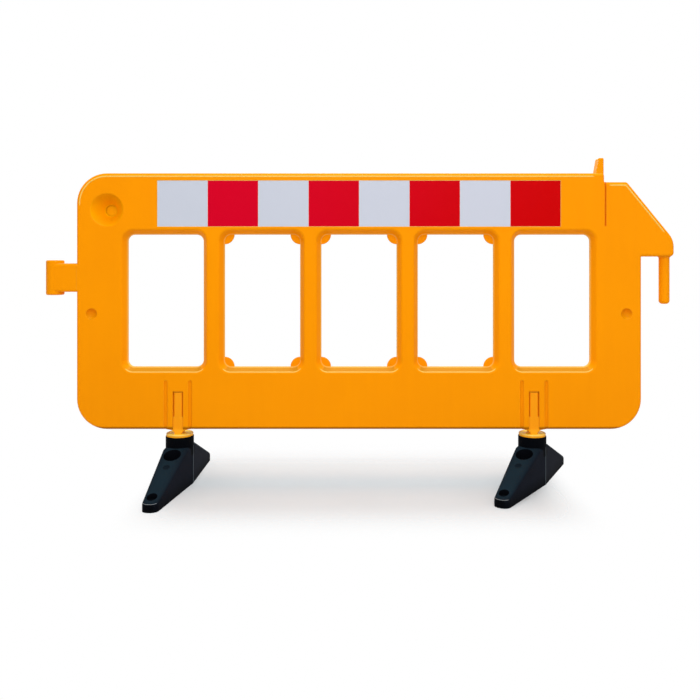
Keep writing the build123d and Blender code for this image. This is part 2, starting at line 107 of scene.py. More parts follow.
class Signal:
    """One node output that takes part in Python expressions, which add Math nodes."""

    def __init__(self, sheet: NodeSheet, socket: bpy.types.NodeSocket) -> None:
        """Keeps the sheet that new nodes go to and the socket itself."""
        self.sheet = sheet
        self.socket = socket

    def _math(self, operation: str, *terms: Term) -> Signal:
        """Adds one Math node.

        Args:
            operation: Blender's name of the operation.
            terms: the node's inputs, in order.

        Returns:
            The node's result.
        """
        return self.sheet.signal("ShaderNodeMath", 0, dict(enumerate(terms)), operation=operation)

    def __add__(self, other: Term) -> Signal:
        """Sum."""
        return self._math("ADD", self, other)

    def __radd__(self, other: Term) -> Signal:
        """Sum, from the right."""
        return self._math("ADD", other, self)

    def __sub__(self, other: Term) -> Signal:
        """Difference."""
        return self._math("SUBTRACT", self, other)

    def __rsub__(self, other: Term) -> Signal:
        """Difference, from the right."""
        return self._math("SUBTRACT", other, self)

    def __mul__(self, other: Term) -> Signal:
        """Product."""
        return self._math("MULTIPLY", self, other)

    def __rmul__(self, other: Term) -> Signal:
        """Product, from the right."""
        return self._math("MULTIPLY", other, self)

    def __truediv__(self, other: Term) -> Signal:
        """Quotient."""
        return self._math("DIVIDE", self, other)

    def __rtruediv__(self, other: Term) -> Signal:
        """Quotient, from the right."""
        return self._math("DIVIDE", other, self)

    def __abs__(self) -> Signal:
        """Size without its sign."""
        return self._math("ABSOLUTE", self)

    def wrap(self, period: float) -> Signal:
        """Distance past the last whole period, never negative."""
        return self._math("FLOORED_MODULO", self, period)

    def least(self, other: Term) -> Signal:
        """The smaller of the two."""
        return self._math("MINIMUM", self, other)

    def most(self, other: Term) -> Signal:
        """The larger of the two."""
        return self._math("MAXIMUM", self, other)

    def reach(self, other: Signal) -> Signal:
        """Length of a line whose parts along two square axes are this and the other."""
        return self._math("SQRT", self * self + other * other)

    def swing(self) -> Signal:
        """How far a noise is from its average."""
        return self - NOISE_AVERAGE

    def ease(self, low: float, high: float) -> Signal:
        """Smooth step from zero to one.

        Args:
            low: value at which the step starts.
            high: value at which it ends; it may be the smaller of the two.

        Returns:
            The stepped value, kept between zero and one.
        """
        if low <= high:
            span = {"From Min": low, "From Max": high, "To Min": 0.0, "To Max": 1.0}
        else:
            span = {"From Min": high, "From Max": low, "To Min": 1.0, "To Max": 0.0}
        settings = {"interpolation_type": "SMOOTHSTEP", "clamp": True}
        return self.sheet.signal("ShaderNodeMapRange", 0, {"Value": self, **span}, **settings)


Term = Signal | float


class NodeSheet:
    """A node tree that is written from Python, for a material, the world or a geometry."""

    def __init__(self, tree: bpy.types.NodeTree) -> None:
        """Keeps the tree and empties it."""
        self.tree = tree
        tree.nodes.clear()

    def node(self, kind: str, inputs: Inputs | None = None, **settings: Any) -> bpy.types.Node:
        """Adds any node.

        Args:
            kind: Blender's name of the node's type.
            inputs: values or signals for its inputs, by name or number.
            settings: properties of the node, set first.

        Returns:
            The node.
        """
        made = self.tree.nodes.new(kind)
        for name, value in settings.items():
            setattr(made, name, value)
        for key, value in (inputs or {}).items():
            self._feed(made.inputs[key], value)
        return made

    def _feed(self, socket: bpy.types.NodeSocket, value: Any) -> None:
        """Links a signal to an input, or sets the input's own value.

        Args:
            socket: the input.
            value: what it gets.
        """
        if isinstance(value, Signal):
            self.tree.links.new(value.socket, socket)
        elif socket.type == "RGBA":
            socket.default_value = (*value, 1.0)
        else:
            socket.default_value = value

    def signal(
        self, kind: str, output: str | int, inputs: Inputs | None = None, **settings: Any
    ) -> Signal:
        """Adds any node and hands on one of its outputs.

        Args:
            kind: Blender's name of the node's type.
            output: name or number of the output.
            inputs: as for node.
            settings: as for node.

        Returns:
            The output as a signal.
        """
        return Signal(self, self.node(kind, inputs, **settings).outputs[output])


class Paint(NodeSheet):
    """The nodes of one material, with the textures that the finishes share."""

    EDGE_SAMPLES = 6
    FULL_EDGE = 0.25

    def __init__(self, name: str) -> None:
        """Makes an empty material.

        Args:
            name: the material's name.
        """
        self.material = bpy.data.materials.new(name)
        self.material.use_nodes = True
        super().__init__(self.material.node_tree)
        self.place = self.signal("ShaderNodeTexCoord", "Object")

    def split(self, vector: Any) -> tuple[Signal, Signal, Signal]:
        """A vector's parts, one signal for each axis."""
        parts = self.node("ShaderNodeSeparateXYZ", {"Vector": vector}).outputs
        return tuple(Signal(self, parts[axis.value]) for axis in Axis)

    def axes(self) -> tuple[Signal, Signal, Signal]:
        """Object coordinates, one signal for each axis."""
        return self.split(self.place)

    def facing(self, axis: Axis) -> Signal:
        """How far the surface faces along an axis, from -1 to 1."""
        return self.split(self.signal("ShaderNodeNewGeometry", "Normal"))[axis.value]

    def noise(self, size: float, detail: float = 2.0, stretch: Point = (1.0, 1.0, 1.0)) -> Signal:
        """Soft noise.

        Args:
            size: size of its blotches, in metres.
            detail: how many finer layers it has.
            stretch: how many times longer the blotches are along each axis.

        Returns:
            Its value, NOISE_AVERAGE on average.
        """
        squeeze = tuple(1.0 / (size * factor) for factor in stretch)
        where = self.signal("ShaderNodeMapping", "Vector", {"Vector": self.place, "Scale": squeeze})
        return self.signal("ShaderNodeTexNoise", 0, {"Vector": where, "Scale": 1.0, "Detail": detail})

    def crystals(self, per_metre: float) -> Signal:
        """Distance from the middle of irregular cells, with so many to a metre."""
        return self.signal("ShaderNodeTexVoronoi", "Distance", {"Vector": self.place, "Scale": per_metre})

    def blend(self, share: Term, first: Any, second: Any) -> Signal:
        """Mix of two colours.

        Args:
            share: how much of the second colour shows.
            first: a colour or a signal.
            second: a colour or a signal.

        Returns:
            The mixed colour.
        """
        mixer = self.node("ShaderNodeMix", data_type="RGBA", blend_type="MIX")
        sockets = {socket.identifier: socket for socket in (*mixer.inputs, *mixer.outputs)}
        for key, value in (("Factor_Float", share), ("A_Color", first), ("B_Color", second)):
            self._feed(sockets[key], value)
        return Signal(self, sockets["Result_Color"])

    def soft_edges(self, radius: float) -> tuple[Signal, Signal]:
        """Rounded shading along sharp edges.

        Args:
            radius: how far the rounding reaches, in metres.

        Returns:
            The rounded normal, and how much it differs from the surface's own, which is zero off edges.
        """
        rounded = self.signal("ShaderNodeBevel", "Normal", {"Radius": radius}, samples=self.EDGE_SAMPLES)
        flat = self.signal("ShaderNodeNewGeometry", "Normal")
        match = self.signal("ShaderNodeVectorMath", "Value", {0: rounded, 1: flat}, operation="DOT_PRODUCT")
        return rounded, (1.0 - match).ease(0.0, self.FULL_EDGE)

    def bump(self, layers: Iterable[tuple[Signal, float]], normal: Signal | None = None) -> Signal:
        """Relief from one or more heights.

        Args:
            layers: pairs of a height between zero and one and its full height in metres.
            normal: the normal to start from, if it isn't the surface's own.

        Returns:
            The normal with the relief on it.
        """
        for height, distance in layers:
            inputs = {"Height": height, "Distance": distance, "Strength": 1.0}
            if normal is not None:
                inputs["Normal"] = normal
            normal = self.signal("ShaderNodeBump", "Normal", inputs)
        return normal

    def surface(self, **sockets: Any) -> bpy.types.Material:
        """Ends the material in one Principled shader.

        Args:
            sockets: the shader's inputs, with underscores for the spaces in their names.

        Returns:
            The finished material.
        """
        inputs = {name.replace("_", " "): value for name, value in sockets.items()}
        return self.close(self.signal("ShaderNodeBsdfPrincipled", "BSDF", inputs))

    def close(self, shader: Signal) -> bpy.types.Material:
        """Ends the material in a shader and hands it on."""
        self.node("ShaderNodeOutputMaterial", {"Surface": shader})
        return self.material


@dataclass(frozen=True)
class MouldedPlastic:
    """Satin polyethylene out of a mould, with flow marks, paler edges (rubbed wear and a painted
    highlight), and painted light and shade.
    """

    name: str
    colour: Colour
    # Tone of the edges: rubbed wear and a painted highlight
    deep: Colour
    rubbed_and_lit: Colour
    # Pale tone of the painted light on upward faces and low down
    lit_tone: Colour = (1.0, 0.56, 0.12)
    lit_below_height: float = 0.0
    low_light_share: float = 0.12
    top_light_share: float = 0.2
    top_light_rise: Span = (0.6, 1.0)
    # Painted shade on upward slopes
    slope_shade: Colour = (0.66, 0.19, 0.0)
    slope_shade_share: float = 0.45
    slope_shade_rise: Span = (0.65, 0.8)
    slope_shade_end: Span = (0.97, 0.9)
    # Painted shade along the lowest edge
    low_shade: Colour = (0.3, 0.085, 0.0)
    low_shade_below: float = 0.0
    low_shade_share: float = 0.85
    height_fade_run: float = 7.0 * MM
    edge_share: float = 0.45
    edge_radius: float = 2.2 * MM
    roughness: float = 0.4
    specular: float = 0.08
    cloud_size: float = 0.38
    cloud_depth: float = 0.9
    flow_size: float = 0.03
    flow_stretch: Point = (1.0, 1.0, 9.0)
    flow_depth: float = 0.35
    flow_gloss: float = 0.14
    deep_span: Span = (-0.25, 0.45)
    ripple_size: float = 0.11
    ripple_height: float = 0.9 * MM
    grain_size: float = 0.9 * MM
    grain_gloss: float = 0.08
    grain_height: float = 0.025 * MM

    def _light_and_shade(self, paint: Paint, tone: Signal) -> Signal:
        """Paints light on upward faces and below a height, and paints shade on upward slopes.

        Args:
            paint: the material's nodes.
            tone: the colour so far.

        Returns:
            The colour with the painted light and shade.
        """
        _, _, height = paint.axes()
        # Painted light: paler below a height, and paler on upward faces as if lit from above
        low_lit = height.ease(self.lit_below_height, self.lit_below_height - self.height_fade_run)
        upward = paint.facing(Axis.Z)
        top_lit = upward.ease(*self.top_light_rise) * self.top_light_share
        tone = paint.blend((low_lit * self.low_light_share).most(top_lit), tone, self.lit_tone)
        # Painted shade on upward slopes, darkening them as if less lit
        slope_shade = upward.ease(*self.slope_shade_rise) * upward.ease(*self.slope_shade_end)
        return paint.blend(slope_shade * self.slope_shade_share, tone, self.slope_shade)

    def _zones(self, paint: Paint, tone: Signal) -> Signal:
        """Tone of the places that look different, none on a plain moulding.

        Args:
            paint: the material's nodes, not used by a plain moulding.
            tone: the colour so far.

        Returns:
            The colour with the zones on it.
        """
        return tone

    def material(self) -> bpy.types.Material:
        """Makes the finish.

        Returns:
            The material.
        """
        paint = Paint(self.name)
        clouds = paint.noise(self.cloud_size, detail=3.0)
        flow = paint.noise(self.flow_size, stretch=self.flow_stretch)
        grain = paint.noise(self.grain_size, detail=1.0)
        ripple = paint.noise(self.ripple_size, detail=1.0)
        rounded, edge = paint.soft_edges(self.edge_radius)
        depth = clouds.swing() * self.cloud_depth + flow.swing() * self.flow_depth
        tone = paint.blend(depth.ease(*self.deep_span), self.colour, self.deep)
        tone = self._zones(paint, self._light_and_shade(paint, tone))
        _, _, height = paint.axes()
        # Painted shade on the lowest edge, which faces down
        low_shade = height.ease(self.low_shade_below, self.low_shade_below - self.height_fade_run)
        tone = paint.blend(low_shade * self.low_shade_share, tone, self.low_shade)
        # Paler edges: partly rubbed wear, partly a painted highlight
        tone = paint.blend(edge * self.edge_share, tone, self.rubbed_and_lit)
        gloss = self.roughness + flow.swing() * self.flow_gloss + grain.swing() * self.grain_gloss
        relief = paint.bump([(ripple, self.ripple_height), (grain, self.grain_height)], rounded)
        return paint.surface(
            Base_Color=tone, Roughness=gloss, Normal=relief, Specular_IOR_Level=self.specular
        )


@dataclass(frozen=True, kw_only=True)
class PanelPlastic(MouldedPlastic):
    """The panel's plastic: painted highlights on the window walls, painted shade in the leg grooves,
    painted light and shade in its hollows.
    """

    grooves: tuple[float, ...]
    groove_top: float
    groove_half: float = 7.0 * MM
    groove_core: float = 3.5 * MM
    # Painted shade in the leg grooves
    groove_shade_share: float = 0.2
    groove_shade: Colour = (0.66, 0.19, 0.0)
    dish: Spot
    dish_back: Span = (25.0 * MM, 23.0 * MM)
    dish_rim: Span = (56.0 * MM, 53.2 * MM)
    dish_turn: Span = (10.8 * MM, 44.8 * MM)
    dish_wall_shading: tuple[Colour, Colour] = ((0.97, 0.385, 0.0), (0.88, 0.32, 0.0))
    dish_floor: Span = (22.5 * MM, 18.0 * MM)
    dish_floor_light: Colour = (1.0, 0.55, 0.0)
    dimple: Spot
    dimple_rim: Span = (18.9 * MM, 16.2 * MM)
    dimple_turn: Span = (-18.0 * MM, 18.0 * MM)
    dimple_shading: tuple[Colour, Colour] = ((0.82, 0.305, 0.0), (0.84, 0.235, 0.0))
    slant: Span = (0.95, 0.8)
    wall_highlight: Colour = (0.95, 0.57, 0.13)
    wall_highlight_share: float = 0.7
    wall_highlight_reach: float = 770.0 * MM
    wall_highlight_heights: Span = (350.0 * MM, 825.0 * MM)
    wall_highlight_edge: Span = (0.0, 1.0 * MM)
    wall_highlight_depth: Span = (10.0 * MM, 3.0 * MM)

    def _zones(self, paint: Paint, tone: Signal) -> Signal:
        """Paints shade in the grooves beside the legs, light and shade in the dish and the dimples, and a
        highlight on the window walls.

        Args:
            paint: the material's nodes.
            tone: the colour so far.

        Returns:
            The colour with the zones on it.
        """
        x, y, z = paint.axes()
        slanted = abs(paint.facing(Axis.Y)).ease(*self.slant)

        # Painted shade in the grooves beside the legs
        near = reduce(Signal.least, [abs(x - place) for place in self.grooves])
        tone_mask = near.ease(self.groove_half, self.groove_core)
        tone_mask = tone_mask * z.ease(self.groove_top + self.groove_half, self.groove_top)
        tone = paint.blend(tone_mask * self.groove_shade_share, tone, self.groove_shade)

        # Painted light and shade in the dish, on the front only: paler walls at its sides, darker walls
        # above and below, and a pale floor
        up = z - self.dish[1]
        reach = (x - self.dish[0]).reach(up)
        front = y.ease(*self.dish_back)
        wall = paint.blend(abs(up).ease(*self.dish_turn), *self.dish_wall_shading)
        tone = paint.blend(reach.ease(*self.dish_rim) * slanted * front, tone, wall)
        tone = paint.blend(reach.ease(*self.dish_floor) * front, tone, self.dish_floor_light)

        # Painted shade and light in the dimples near both ends, on both faces: darker high up, paler low
        # down
        up = z - self.dimple[1]
        reach = (abs(x) - self.dimple[0]).reach(up)
        hollow = paint.blend(up.ease(*self.dimple_turn), *self.dimple_shading)
        tone = paint.blend(reach.ease(*self.dimple_rim), tone, hollow)

        # Painted highlight on the middle of the window walls, near the panel's mid-plane
        low, high = self.wall_highlight_heights
        inside = (z - low).least(high - z).least(self.wall_highlight_reach - abs(x)).ease(*self.wall_highlight_edge)
        wall_highlight = inside * slanted * abs(y).ease(*self.wall_highlight_depth)
        return paint.blend(wall_highlight * self.wall_highlight_share, tone, self.wall_highlight)


@dataclass(frozen=True)
class ReflectiveFilm:
    """Retroreflective sheeting: sealed hexagonal cells under a clear face, with pale cut edges."""

    name: str
    colour: Colour
    far_colour: Colour
    wall_colour: Colour
    edge_colour: Colour
    first_joint: float
    block_pitch: float
    low_edge: float
    high_edge: float
    cell: float = 3.4 * MM
    wall_span: Span = (0.8, 0.97)
    wall_share: float = 0.45
    wall_gloss: float = 0.18
    wall_height: float = 0.05 * MM
    edge_span: Span = (1.3 * MM, 0.52 * MM)
    edge_share: float = 0.8
    cloud_size: float = 0.3
    cloud_drift: float = 2.0
    cloud_height: float = 0.4 * MM
    fade_blocks: float = 4.0
    grain_size: float = 0.6 * MM
    grain_gloss: float = 0.1
    roughness: float = 0.3
    specular: float = 0.04

    def _cells(self, paint: Paint) -> Signal:
        """How near each point is to a cell's wall, on two grids of cells that lie half a step apart.

        Args:
            paint: the material's nodes.

        Returns:
            Zero in the middle of a cell, and one on its wall.
        """
        x, _, z = paint.axes()
        # In widths of a cell, each grid repeats after 1 across and the root of 3 along
        row = math.sqrt(3.0)
        grids = []
        for step in (0.0, 0.5):
            across = abs((x / self.cell - step).wrap(1.0) - 0.5)
            along = abs((z / self.cell - step * row).wrap(row) - row / 2)
            grids.append(across.most(across * 0.5 + along * (row / 2)))
        return reduce(Signal.least, grids) * 2.0

    def _cut_edge(self, paint: Paint) -> Signal:
        """Where the cut edges of the blocks are.

        Args:
            paint: the material's nodes.

        Returns:
            One along the edges of a block, and zero inside it.
        """
        x, _, z = paint.axes()
        step = (x - self.first_joint).wrap(self.block_pitch)
        side = step.least(self.block_pitch - step)
        end = (z - self.low_edge).least(self.high_edge - z)
        return side.least(end).ease(*self.edge_span)

    def material(self) -> bpy.types.Material:
        """Makes the finish.

        Returns:
            The material.
        """
        paint = Paint(self.name)
        wall = self._cells(paint).ease(*self.wall_span)
        edge = self._cut_edge(paint)
        clouds = paint.noise(self.cloud_size)
        grain = paint.noise(self.grain_size, detail=1.0)
        x, _, _ = paint.axes()
        along = x + clouds.swing() * (self.cloud_drift * self.block_pitch)
        reach = self.fade_blocks * self.block_pitch
        tone = paint.blend(along.ease(-reach, reach), self.colour, self.far_colour)
        tone = paint.blend(wall * self.wall_share, tone, self.wall_colour)
        tone = paint.blend(edge * self.edge_share, tone, self.edge_colour)
        gloss = self.roughness + wall * self.wall_gloss + grain.swing() * self.grain_gloss
        relief = paint.bump([(wall, self.wall_height), (clouds, self.cloud_height)])
        return paint.surface(
            Base_Color=tone, Roughness=gloss, Normal=relief, Specular_IOR_Level=self.specular
        )


@dataclass(frozen=True)
class Recess:
    """A round mark in both ramps of a foot, at the same distance from the pivot, kept dark as painted
    shade.
    """

    distance: float
    radius: float
    shade_share: float = 1.0


@dataclass(frozen=True)
class FootRubber:
    """Black crumb rubber pressed in a mould, with a dull film on its flanks, and dust with a painted sheen
    on its ramps.

    The collar, the ends of the toes and the marks in the ramps are kept dark as painted shade, and the
    edges get a painted highlight.
    """

    name: str
    pivot: Point
    angle: float
    colour: Colour = (0.0013, 0.0017, 0.0027)
    crumb: Colour = (0.004, 0.0055, 0.009)
    film: Colour = (0.0068, 0.0088, 0.0155)
    film_share: float = 0.5
    film_clouds: float = 0.6
    # Dust with a painted sheen on the ramps
    dust_and_sheen: Colour = (0.0082, 0.019, 0.028)
    dust_and_sheen_share: float = 0.7
    dust_and_sheen_clouds: float = 0.5
    dust_and_sheen_gloss: float = 0.15
    dust_and_sheen_rise: Span = (0.1, 0.85)
    middle_span: Span = (8.0 * MM, 42.0 * MM)
    side_loss: float = 0.6
    darker_below: float = 45.0 * MM
    bottom_share: float = 0.1
    roughness: float = 0.72
    specular: float = 0.02
    edge_radius: float = 2.5 * MM
    edge_share: float = 0.4
    crumbs_per_metre: float = 260.0
    crumb_height: float = 0.06 * MM
    speck_size: float = 2.2 * MM
    speck_span: Span = (0.5, 0.72)
    speck_share: float = 0.6
    speck_gloss: float = 0.2
    speck_height: float = 0.1 * MM
    cloud_size: float = 0.05
    collar_rim: Span = (48.0 * MM, 46.0 * MM)
    collar_rise: Span = (91.0 * MM, 96.0 * MM)
    toe_end: Span = (285.0 * MM, 289.0 * MM)
    recess_edge: Span = (1.5 * MM, -0.5 * MM)
    recesses: tuple[Recess, ...] = (
        Recess(77.0 * MM, 26.5 * MM),
        Recess(133.0 * MM, 10.5 * MM, 0.55),
        Recess(259.0 * MM, 15.0 * MM),
    )

    def _own_axes(self, paint: Paint) -> tuple[Signal, Signal, Signal]:
        """Place on the foot from its pivot.

        Args:
            paint: the material's nodes.

        Returns:
            How far across the foot, along it and up.
        """
        turn = {"Vector": paint.place, "Center": self.pivot, "Axis": (0.0, 0.0, 1.0), "Angle": -self.angle}
        turned = paint.signal("ShaderNodeVectorRotate", "Vector", turn, rotation_type="AXIS_ANGLE")
        move = {0: turned, 1: self.pivot}
        return paint.split(paint.signal("ShaderNodeVectorMath", "Vector", move, operation="SUBTRACT"))

    def _shaded_parts(self, x: Signal, y: Signal, z: Signal) -> Signal:
        """Where shade is painted: on the collar, the ends of the toes and the marks in the ramps.

        Args:
            x: place across the foot.
            y: place along it.
            z: height.

        Returns:
            The share of painted shade, from zero to one.
        """
        collar = x.reach(y).ease(*self.collar_rim) * z.ease(*self.collar_rise)
        in_shade = collar.most(abs(y).ease(*self.toe_end))
        outer, inner = self.recess_edge
        for recess in self.recesses:
            inside = x.reach(abs(y) - recess.distance).ease(recess.radius + outer, recess.radius + inner)
            in_shade = in_shade.most(inside * recess.shade_share)
        return in_shade

    def material(self) -> bpy.types.Material:
        """Makes the finish.

        Returns:
            The material.
        """
        paint = Paint(self.name)
        crumbs = paint.crystals(self.crumbs_per_metre)
        specks = paint.noise(self.speck_size)
        clouds = paint.noise(self.cloud_size, detail=3.0)
        rounded, edge = paint.soft_edges(self.edge_radius)
        x, y, z = self._own_axes(paint)
        # Film and dust fade out towards the floor, so the foot is darker low down
        height_factor = self.bottom_share + z.ease(0.0, self.darker_below) * (1.0 - self.bottom_share)
        # Film and dust with sheen go only where no shade is painted
        unshaded = (1.0 - self._shaded_parts(x, y, z)) * height_factor
        middle = 1.0 - abs(x).ease(*self.middle_span) * self.side_loss
        tone = paint.blend(specks.ease(*self.speck_span) * self.speck_share, self.colour, self.crumb)
        filmed = unshaded * (self.film_share + clouds * self.film_clouds)
        tone = paint.blend(filmed, tone, self.film)
        # Dust with a painted sheen on the upward faces of the ramps
        tone_mask = paint.facing(Axis.Z).ease(*self.dust_and_sheen_rise) * unshaded * middle
        tone_mask = tone_mask * (self.dust_and_sheen_share + clouds * self.dust_and_sheen_clouds)
        tone = paint.blend(tone_mask, tone, self.dust_and_sheen)
        # Painted highlight along the foot's edges
        tone = paint.blend(edge * self.edge_share, tone, self.dust_and_sheen)
        gloss = self.roughness + tone_mask * self.dust_and_sheen_gloss + specks.swing() * self.speck_gloss
        relief = paint.bump([(crumbs, self.crumb_height), (specks, self.speck_height)], rounded)
        return paint.surface(
            Base_Color=tone, Roughness=gloss, Normal=relief, Specular_IOR_Level=self.specular
        )


@dataclass(frozen=True)
class PlatedMetal:
    """Plated or turned metal with fine marks."""

    name: str
    colour: Colour
    worn: Colour
    roughness: float = 0.34
    spangles_per_metre: float = 320.0
    spangle_average: float = 0.4
    spangle_gloss: float = 0.08
    haze_size: float = 6.0 * MM
    haze_span: Span = (0.35, 0.7)
    haze_share: float = 0.6
    haze_gloss: float = 0.2
    mark_size: float = 0.5 * MM
    mark_stretch: Point = (12.0, 12.0, 1.0)
    mark_height: float = 0.02 * MM
    edge_radius: float = 0.6 * MM
    edge_share: float = 0.3

    def material(self) -> bpy.types.Material:
        """Makes the finish.

        Returns:
            The material.
        """
        paint = Paint(self.name)
        spangle = paint.crystals(self.spangles_per_metre) - self.spangle_average
        haze = paint.noise(self.haze_size, detail=3.0)
        marks = paint.noise(self.mark_size, stretch=self.mark_stretch)
        rounded, edge = paint.soft_edges(self.edge_radius)
        wear = haze.ease(*self.haze_span) * self.haze_share + edge * self.edge_share
        tone = paint.blend(wear, self.colour, self.worn)
        gloss = self.roughness + haze.swing() * self.haze_gloss + spangle * self.spangle_gloss
        relief = paint.bump([(marks, self.mark_height)], rounded)
        return paint.surface(Base_Color=tone, Roughness=gloss, Metallic=1.0, Normal=relief)


# Panel plastic: its settings paint light on upward faces and shade on upward slopes and the lowest edge
ORANGE = PanelPlastic(
    "orange_panel_plastic", colour=(0.97, 0.315, 0.0), deep=(0.92, 0.285, 0.0), rubbed_and_lit=(1.0, 0.47, 0.06),
    lit_tone=(0.92, 0.58, 0.16), top_light_share=0.5, slope_shade=(0.53, 0.215, 0.0), slope_shade_share=0.85,
    low_shade_below=189.5 * MM, specular=0.04,
    grooves=(-617.0 * MM, -539.0 * MM, 520.0 * MM, 598.0 * MM), groove_top=329.0 * MM,
    dish=(-805.0 * MM, 879.0 * MM), dimple=(854.0 * MM, 547.0 * MM),
)
# Post plastic: its pale tone below the panel's bottom edge and on upward faces is painted light
POST_ORANGE = MouldedPlastic(
    "orange_post_plastic", colour=(0.98, 0.345, 0.004), deep=(0.94, 0.31, 0.002), rubbed_and_lit=(1.0, 0.5, 0.1),
    lit_tone=(1.0, 0.9, 0.06), lit_below_height=182.5 * MM, top_light_share=0.8, edge_share=0.2,
)
# Pale copies of the plastic and the rubber: painted highlights, for the ridges along lit edges
ORANGE_HIGHLIGHT = MouldedPlastic(
    "orange_highlight_plastic", colour=(0.92, 0.58, 0.12), deep=(0.92, 0.54, 0.1), rubbed_and_lit=(0.95, 0.62, 0.15),
    slope_shade_share=0.0,
)
SEAM_HIGHLIGHT_RUBBER = MouldedPlastic(
    "seam_highlight_rubber", colour=(0.085, 0.105, 0.12), deep=(0.07, 0.09, 0.1), rubbed_and_lit=(0.13, 0.15, 0.16),
    lit_tone=(0.16, 0.18, 0.19), slope_shade_share=0.0, roughness=0.6,
)
TOE_HIGHLIGHT_RUBBER = MouldedPlastic(
    "toe_highlight_rubber", colour=(0.2, 0.225, 0.24), deep=(0.18, 0.2, 0.215), rubbed_and_lit=(0.26, 0.28, 0.29),
    lit_tone=(0.28, 0.3, 0.31), slope_shade_share=0.0, roughness=0.6,
)
ZINC = PlatedMetal("zinc_steel", colour=(0.56, 0.58, 0.6), worn=(0.42, 0.43, 0.45))
BRASS = PlatedMetal("turned_brass", colour=(0.74, 0.52, 0.2), worn=(0.5, 0.34, 0.12), roughness=0.3)


class GeometryTree(NodeSheet):
    """A Geometry Nodes tree with named sizes, whose result becomes a plain mesh."""

    def __init__(self, name: str, sizes: dict[str, float], finish: bpy.types.Material) -> None:
        """Makes the tree's ends and its named inputs.

        Args:
            name: the tree's name.
            sizes: the named inputs, with their values.
            finish: the material of what it makes.
        """
        super().__init__(bpy.data.node_groups.new(name, "GeometryNodeTree"))
        self.finish = finish
        self.values = dict(sizes)
        face = self.tree.interface
        for way in ("INPUT", "OUTPUT"):
            face.new_socket("Geometry", in_out=way, socket_type="NodeSocketGeometry")
        self.identifiers = {
            size: face.new_socket(size, in_out="INPUT", socket_type="NodeSocketFloat").identifier
            for size in sizes
        }
        self.start = self.node("NodeGroupInput")

    def size(self, name: str) -> Signal:
        """The named input, inside the tree."""
        return Signal(self, self.start.outputs[name])

    def close(self, geometry: Signal) -> None:
        """Ends the tree in Realize Instances and Set Material.

        Args:
            geometry: what the tree has made.
        """
        whole = self.signal("GeometryNodeRealizeInstances", "Geometry", {"Geometry": geometry})
        inputs = {"Geometry": whole, "Material": self.finish}
        dressed = self.signal("GeometryNodeSetMaterial", "Geometry", inputs)
        self.node("NodeGroupOutput", {"Geometry": dressed})

    def mesh(self, carrier: bpy.types.Object) -> bpy.types.Mesh:
        """Runs the tree on an object.

        Args:
            carrier: the object with the tree's input geometry.

        Returns:
            The result as a plain mesh.
        """
        modifier = carrier.modifiers.new(self.tree.name, "NODES")
        modifier.node_group = self.tree
        for name, value in self.values.items():
            modifier[self.identifiers[name]] = value
        graph = bpy.context.evaluated_depsgraph_get()
        made = bpy.data.meshes.new_from_object(carrier.evaluated_get(graph))
        carrier.modifiers.remove(modifier)
        return made


@dataclass(frozen=True)
class Corner:
    """One corner of a ridge's path, with the radius that rounds it."""

    place: Point
    radius: float = 0.0


Runs = list[list[Corner]]


@dataclass
class Bead:
    """A thin round ridge along one or more paths, partly sunk in the surface, such as moulding flash."""

    name: str
    finish: bpy.types.Material
    radius: float
    runs: Runs
    body: str = PANEL_BODY
    slot: str = PANEL_SLOT
    closed: bool = False
    copies: int = 1
    pitch: float = 0.0
    round_steps: int = 14
    sides: int = 8

    def _carrier(self) -> bpy.types.Object:
        """Makes the object that the ridge grows on.

        Returns:
            An object whose edges are the paths and whose points know their rounding.
        """
        corners = [corner for run in self.runs for corner in run]
        edges = []
        first = 0
        for run in self.runs:
            last = first + len(run) - 1
            edges += [(index, index + 1) for index in range(first, last)]
            if self.closed:
                edges.append((last, first))
            first = last + 1
        mesh = bpy.data.meshes.new(self.name)
        mesh.from_pydata([corner.place for corner in corners], edges, [])
        rounding = mesh.attributes.new("rounding", "FLOAT", "POINT")
        rounding.data.foreach_set("value", [corner.radius for corner in corners])
        carrier = bpy.data.objects.new(self.name, mesh)
        bpy.context.scene.collection.objects.link(carrier)
        return carrier

    def _tree(self) -> GeometryTree:
        """Writes the tree that rounds the paths, sweeps the ridge along them and copies it.

        Returns:
            The closed tree.
        """
        sizes = {"Radius": self.radius, "Pitch": self.pitch}
        tree = GeometryTree(f"{self.name}_sweep", sizes, self.finish)
        path = tree.signal("GeometryNodeMeshToCurve", "Curve", {"Mesh": tree.size("Geometry")})
        rounding = tree.signal(
            "GeometryNodeInputNamedAttribute", "Attribute", {"Name": "rounding"}, data_type="FLOAT"
        )
        corners = {"Curve": path, "Radius": rounding, "Limit Radius": True, "Count": self.round_steps}
        smooth = tree.signal("GeometryNodeFilletCurve", "Curve", corners, mode="POLY")
        circle = {"Resolution": self.sides, "Radius": tree.size("Radius")}
        ring = tree.signal("GeometryNodeCurvePrimitiveCircle", "Curve", circle, mode="RADIUS")
        swept = {"Curve": smooth, "Profile Curve": ring, "Fill Caps": True}
        ridge = tree.signal("GeometryNodeCurveToMesh", "Mesh", swept)
        step = tree.signal("ShaderNodeCombineXYZ", "Vector", {"X": tree.size("Pitch")})
        places = {"Count": self.copies, "Offset": step}
        row = tree.signal("GeometryNodeMeshLine", "Mesh", places, mode="OFFSET")
        copies = {"Points": row, "Instance": ridge}
        tree.close(tree.signal("GeometryNodeInstanceOnPoints", "Instances", copies))
        return tree

    def build(self) -> None:
        """Makes the ridge and hangs it on its body."""
        piece = self._carrier()
        piece.data = self._tree().mesh(piece)
        for polygon in piece.data.polygons:
            polygon.use_smooth = True
        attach(piece, self.body)
        LOG.info("%s: %d faces on %s", piece.name, len(piece.data.polygons), self.body)


